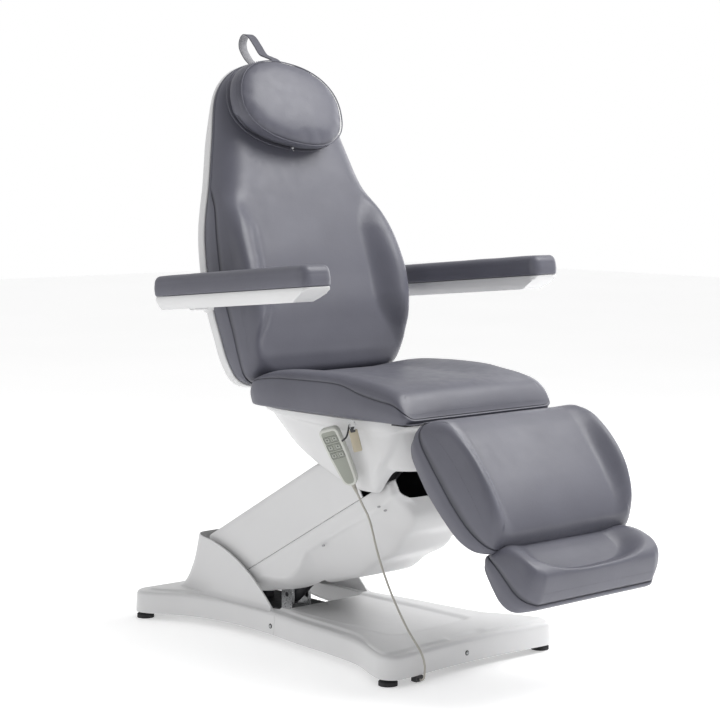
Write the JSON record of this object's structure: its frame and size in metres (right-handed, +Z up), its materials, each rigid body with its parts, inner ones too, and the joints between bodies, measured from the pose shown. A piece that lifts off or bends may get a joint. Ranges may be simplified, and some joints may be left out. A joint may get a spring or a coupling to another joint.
{
  "type": "facial treatment bed",
  "caption": "Powered facial treatment bed: lift arm on a waisted white base, reclining back with pillow and level armrests, swinging leg rest, sliding footrest, wired handset.",
  "frame": {"origin": "on the floor, under the middle of the bed's box", "axes": "+Z up; the foot end faces -Y; the occupant's right hand is at -X"},
  "size_m": [0.848, 1.3794, 1.4754],
  "materials": {
    "white_cover": "smooth white moulded plastic, lightly glossy",
    "upholstery": "grey synthetic leather over foam, fine grain, stitched seams",
    "steel_frame": "black powder-coated steel",
    "bright_steel": "bare machined steel",
    "foot_rubber": "matt black rubber",
    "black_plastic": "matt black moulded plastic",
    "handset_shell": "cream moulded plastic with a grey-green keypad panel",
    "keypad": "grey-green keypad membrane",
    "cord_jacket": "beige-grey cord jacket",
    "strap_web": "grey strap, hook-and-loop lined"
  },
  "bodies": {
    "base": {"base_frame": "steel_frame", "base_cover_rear": "white_cover", "base_cover_front": "white_cover", "pivot_bracket": "steel_frame", "actuator_clevis": "bright_steel", "power_inlet": "black_plastic", "cord_gland": "black_plastic"},
    "levelling_foot_front_left": {"foot_front_left": "foot_rubber"},
    "levelling_foot_front_right": {"foot_front_right": "foot_rubber"},
    "levelling_foot_rear_left": {"foot_rear_left": "foot_rubber"},
    "levelling_foot_rear_right": {"foot_rear_right": "foot_rubber"},
    "lift_arm": {"lift_arm_frame": "steel_frame", "arm_lower_shaft": "bright_steel", "arm_upper_shaft": "bright_steel", "arm_cover_upper": "white_cover", "arm_cover_lower": "white_cover", "lift_actuator_pin": "bright_steel"},
    "level_link": {"parallel_link": "steel_frame"},
    "lift_tube": {"lift_actuator_tube": "black_plastic"},
    "lift_rod": {"lift_actuator_rod": "bright_steel"},
    "pedestal": {"pedestal_cover": "white_cover", "seat_frame": "steel_frame", "pedestal_bracket": "steel_frame", "recline_bearing": "steel_frame", "knee_bearing": "steel_frame", "control_box": "black_plastic", "seat_cushion": "upholstery", "handset_hook": "black_plastic", "back_actuator_tube": "black_plastic", "leg_actuator_tube": "black_plastic"},
    "back_rod": {"back_actuator_rod": "bright_steel"},
    "leg_rod": {"leg_actuator_rod": "bright_steel"},
    "backrest": {"back_frame": "steel_frame", "recline_shaft": "bright_steel", "back_shell": "white_cover", "back_cushion": "upholstery", "armrest_bracket_left": "white_cover", "armrest_bracket_right": "white_cover", "pillow_strap": "strap_web"},
    "armrest_left": {"armrest_shell_left": "white_cover", "armrest_pad_left": "upholstery"},
    "armrest_right": {"armrest_shell_right": "white_cover", "armrest_pad_right": "upholstery"},
    "legrest": {"leg_frame": "steel_frame", "knee_shaft": "bright_steel", "leg_cushion": "upholstery"},
    "footrest": {"foot_slide_frame": "bright_steel", "foot_cushion": "upholstery"},
    "pillow": {"head_pillow": "upholstery"},
    "handset": {"handset_body": "handset_shell", "cord_relief": "cord_jacket", "handset_cord": "cord_jacket"},
    "cord_end": {"cord_floor_loop": "cord_jacket"},
    "button_1": {"handset_button_1": "keypad"},
    "button_2": {"handset_button_2": "keypad"},
    "button_3": {"handset_button_3": "keypad"},
    "button_4": {"handset_button_4": "keypad"},
    "button_5": {"handset_button_5": "keypad"},
    "button_6": {"handset_button_6": "keypad"}
  },
  "joints": [
    {"name": "lift", "type": "hinge", "parent": "base", "child": "lift_arm", "pos_m": [0, 0.4887, 0.135], "axis": [-1, 0, 0], "range_deg": [0, 28]},
    {"name": "level_link_turn", "type": "hinge", "parent": "base", "child": "level_link", "pos_m": [0, 0.5187, 0.18], "axis": [-1, 0, 0], "range_deg": [0, 28]},
    {"name": "seat_level", "type": "hinge", "parent": "lift_arm", "child": "pedestal", "pos_m": [0, -0.12234, 0.4765], "axis": [-1, 0, 0], "range_deg": [-28, 0]},
    {"name": "lift_actuator_tilt", "type": "hinge", "parent": "base", "child": "lift_tube", "pos_m": [0, 0.2837, 0.095], "axis": [-1, 0, 0], "range_deg": [0, 34.86]},
    {"name": "lift_actuator_stroke", "type": "slide", "parent": "lift_tube", "child": "lift_rod", "axis": [0, -0.7477, 0.664], "range_m": [0, 0.0944]},
    {"name": "recline", "type": "hinge", "parent": "pedestal", "child": "backrest", "pos_m": [0, 0.2887, 0.575], "axis": [-1, 0, 0], "range_deg": [0, 76]},
    {"name": "back_actuator_stroke", "type": "slide", "parent": "pedestal", "child": "back_rod", "axis": [0, -1, 0], "range_m": [0, 0.0625]},
    {"name": "armrest_left_level", "type": "hinge", "parent": "backrest", "child": "armrest_left", "pos_m": [0, 0.34872, 0.84504], "axis": [-1, 0, 0], "range_deg": [-76, 0]},
    {"name": "armrest_right_level", "type": "hinge", "parent": "backrest", "child": "armrest_right", "pos_m": [0, 0.34872, 0.84504], "axis": [-1, 0, 0], "range_deg": [-76, 0]},
    {"name": "leg_raise", "type": "hinge", "parent": "pedestal", "child": "legrest", "pos_m": [0, -0.3013, 0.575], "axis": [-1, 0, 0], "range_deg": [-30, 48]},
    {"name": "leg_actuator_stroke", "type": "slide", "parent": "pedestal", "child": "leg_rod", "axis": [0, -1, 0], "range_m": [-0.031, 0.049]},
    {"name": "footrest_slide", "type": "slide", "parent": "legrest", "child": "footrest", "axis": [0, -0.6494, -0.7604], "range_m": [0, 0.12]},
    {"name": "pillow_slide", "type": "slide", "parent": "backrest", "child": "pillow", "axis": [0, 0.3643, 0.9313], "range_m": [-0.06, 0.03], "deforming": ["pillow_strap"]},
    {"name": "handset_lift_off", "type": "slide", "parent": "pedestal", "child": "handset", "axis": [0, 0, 1], "range_m": [0, 0.03]},
    {"name": "cord_pay_out", "type": "slide", "parent": "handset", "child": "cord_end", "axis": [0, -0.6845, -0.729], "range_m": [0, 0.3397], "deforming": ["handset_cord"]},
    {"name": "foot_front_left_screw", "type": "slide", "parent": "base", "child": "levelling_foot_front_left", "axis": [0, 0, -1], "range_m": [0, 0.01]},
    {"name": "foot_front_right_screw", "type": "slide", "parent": "base", "child": "levelling_foot_front_right", "axis": [0, 0, -1], "range_m": [0, 0.01]},
    {"name": "foot_rear_left_screw", "type": "slide", "parent": "base", "child": "levelling_foot_rear_left", "axis": [0, 0, -1], "range_m": [0, 0.01]},
    {"name": "foot_rear_right_screw", "type": "slide", "parent": "base", "child": "levelling_foot_rear_right", "axis": [0, 0, -1], "range_m": [0, 0.01]},
    {"name": "button_1_press", "type": "slide", "parent": "handset", "child": "button_1", "axis": [0.9011, 0.0053, 0.4335], "range_m": [0, 0.0008], "stiffness_N_per_m": 600, "springref_m": -0.0005},
    {"name": "button_2_press", "type": "slide", "parent": "handset", "child": "button_2", "axis": [0.9011, 0.0053, 0.4335], "range_m": [0, 0.0008], "stiffness_N_per_m": 600, "springref_m": -0.0005},
    {"name": "button_3_press", "type": "slide", "parent": "handset", "child": "button_3", "axis": [0.9011, 0.0053, 0.4335], "range_m": [0, 0.0008], "stiffness_N_per_m": 600, "springref_m": -0.0005},
    {"name": "button_4_press", "type": "slide", "parent": "handset", "child": "button_4", "axis": [0.9011, 0.0053, 0.4335], "range_m": [0, 0.0008], "stiffness_N_per_m": 600, "springref_m": -0.0005},
    {"name": "button_5_press", "type": "slide", "parent": "handset", "child": "button_5", "axis": [0.9011, 0.0053, 0.4335], "range_m": [0, 0.0008], "stiffness_N_per_m": 600, "springref_m": -0.0005},
    {"name": "button_6_press", "type": "slide", "parent": "handset", "child": "button_6", "axis": [0.9011, 0.0053, 0.4335], "range_m": [0, 0.0008], "stiffness_N_per_m": 600, "springref_m": -0.0005}
  ],
  "couplings": [
    {"joint": "level_link_turn", "follows": "lift", "ratio": 1},
    {"joint": "seat_level", "follows": "lift", "ratio": -1},
    {"joint": "lift_actuator_tilt", "follows": "lift", "ratio": 1.2236},
    {"joint": "lift_actuator_stroke", "follows": "lift", "m_per_rad": 0.189},
    {"joint": "cord_pay_out", "follows": "lift", "m_per_rad": 0.6931},
    {"joint": "back_actuator_stroke", "follows": "recline", "m_per_rad": 0.046},
    {"joint": "armrest_left_level", "follows": "recline", "ratio": -1},
    {"joint": "armrest_right_level", "follows": "recline", "ratio": -1},
    {"joint": "leg_actuator_stroke", "follows": "leg_raise", "m_per_rad": 0.056}
  ]
}
